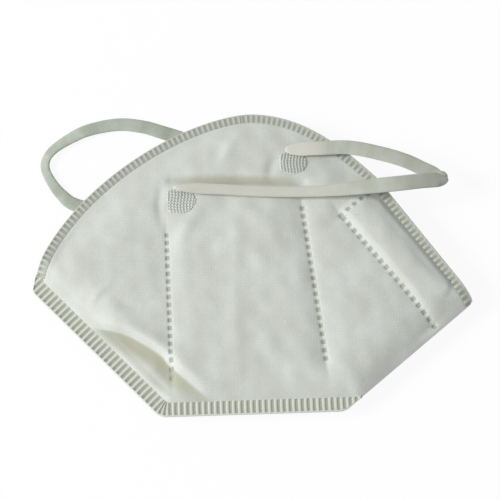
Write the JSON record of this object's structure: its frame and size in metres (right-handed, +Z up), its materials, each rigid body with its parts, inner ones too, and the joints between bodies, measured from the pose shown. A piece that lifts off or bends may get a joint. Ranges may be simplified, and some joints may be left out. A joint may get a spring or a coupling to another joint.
{
  "type": "disposable dust mask",
  "caption": "Fold-flat disposable dust mask: layered filter panels with welded seams open from a flat fold into a cup, with a hidden nose wire and flat elastic ear loops.",
  "frame": {"origin": "on the supporting surface, under the middle of the folded mask and its loops", "axes": "+X from the chin corner to the nose corner, +Y from the front weld seam to the open face edge, +Z up through the folded thickness"},
  "size_m": [0.1592, 0.1184, 0.0184],
  "materials": {
    "outer_cover": "spunbond nonwoven, matt",
    "cotton_layer": "hot-air cotton, matt",
    "meltblown_filter": "melt-blown nonwoven, matt",
    "inner_lining": "spunbond nonwoven, matt",
    "weld_seam": "fused nonwoven, bar embossed",
    "elastic_band": "knitted elastic, matt",
    "nose_wire": "satin"
  },
  "bodies": {
    "left_cheek": {"left_cheek_outer_cover": "outer_cover", "left_cheek_cotton_layer": "cotton_layer", "left_cheek_meltblown_filter": "meltblown_filter", "left_cheek_inner_lining": "inner_lining", "front_weld_seam": "weld_seam", "left_loop_chin_side_patch": "elastic_band", "left_loop_nose_side_patch": "elastic_band", "left_loop_crown_stretch": "elastic_band", "left_loop_chin_stretch": "elastic_band"},
    "right_cheek": {"right_cheek_outer_cover": "outer_cover", "right_cheek_cotton_layer": "cotton_layer", "right_cheek_meltblown_filter": "meltblown_filter", "right_cheek_inner_lining": "inner_lining", "right_loop_chin_side_patch": "elastic_band", "right_loop_nose_side_patch": "elastic_band"},
    "left_chin": {"left_chin_outer_cover": "outer_cover", "left_chin_cotton_layer": "cotton_layer", "left_chin_meltblown_filter": "meltblown_filter", "left_chin_inner_lining": "inner_lining", "chin_weld_seam": "weld_seam"},
    "right_chin": {"right_chin_outer_cover": "outer_cover", "right_chin_cotton_layer": "cotton_layer", "right_chin_meltblown_filter": "meltblown_filter", "right_chin_inner_lining": "inner_lining"},
    "left_nose": {"left_nose_outer_cover": "outer_cover", "left_nose_cotton_layer": "cotton_layer", "left_nose_meltblown_filter": "meltblown_filter", "left_nose_inner_lining": "inner_lining", "left_nose_wire_arm": "nose_wire"},
    "right_nose": {"right_nose_outer_cover": "outer_cover", "right_nose_cotton_layer": "cotton_layer", "right_nose_meltblown_filter": "meltblown_filter", "right_nose_inner_lining": "inner_lining", "right_nose_wire_arm": "nose_wire"},
    "right_ear_loop": {"right_ear_loop": "elastic_band"},
    "left_ear_loop": {"left_ear_loop": "elastic_band"}
  },
  "joints": [
    {"name": "open_mask", "type": "hinge", "parent": "left_cheek", "child": "right_cheek", "pos_m": [-0.03002, -0.05457, 0.0068], "axis": [0.9995, 0.033, 0], "range_deg": [0, 54]},
    {"name": "left_chin_fold", "type": "hinge", "parent": "left_cheek", "child": "left_chin", "pos_m": [-0.03002, -0.05457, 0.0068], "axis": [-0.0349, 0.9994, 0], "range_deg": [0, 32.61]},
    {"name": "right_chin_fold", "type": "hinge", "parent": "right_cheek", "child": "right_chin", "pos_m": [-0.03002, -0.05457, 0.0068], "axis": [0.0349, -0.9994, 0], "range_deg": [0, 32.61]},
    {"name": "left_nose_fold", "type": "hinge", "parent": "left_cheek", "child": "left_nose", "pos_m": [0.03866, -0.0523, 0.0068], "axis": [0.134, -0.991, 0], "range_deg": [0, 22.11]},
    {"name": "right_nose_fold", "type": "hinge", "parent": "right_cheek", "child": "right_nose", "pos_m": [0.03866, -0.0523, 0.0068], "axis": [-0.134, 0.991, 0], "range_deg": [0, 22.11]},
    {"name": "right_ear_loop_swing", "type": "hinge", "parent": "right_cheek", "child": "right_ear_loop", "pos_m": [-0.025, 0.0245, 0.0131], "axis": [-0.9362, -0.3514, 0], "range_deg": [0, 150]},
    {"name": "left_ear_loop_lift", "type": "hinge", "parent": "left_cheek", "child": "left_ear_loop", "pos_m": [-0.0658, 0.023, 0.0005], "axis": [0.8153, 0.579, 0], "range_deg": [0, 84]}
  ],
  "couplings": [
    {"joint": "left_chin_fold", "follows": "open_mask", "ratio": 0.60381},
    {"joint": "right_chin_fold", "follows": "open_mask", "ratio": 0.60381},
    {"joint": "left_nose_fold", "follows": "open_mask", "ratio": 0.40935},
    {"joint": "right_nose_fold", "follows": "open_mask", "ratio": 0.40935}
  ]
}
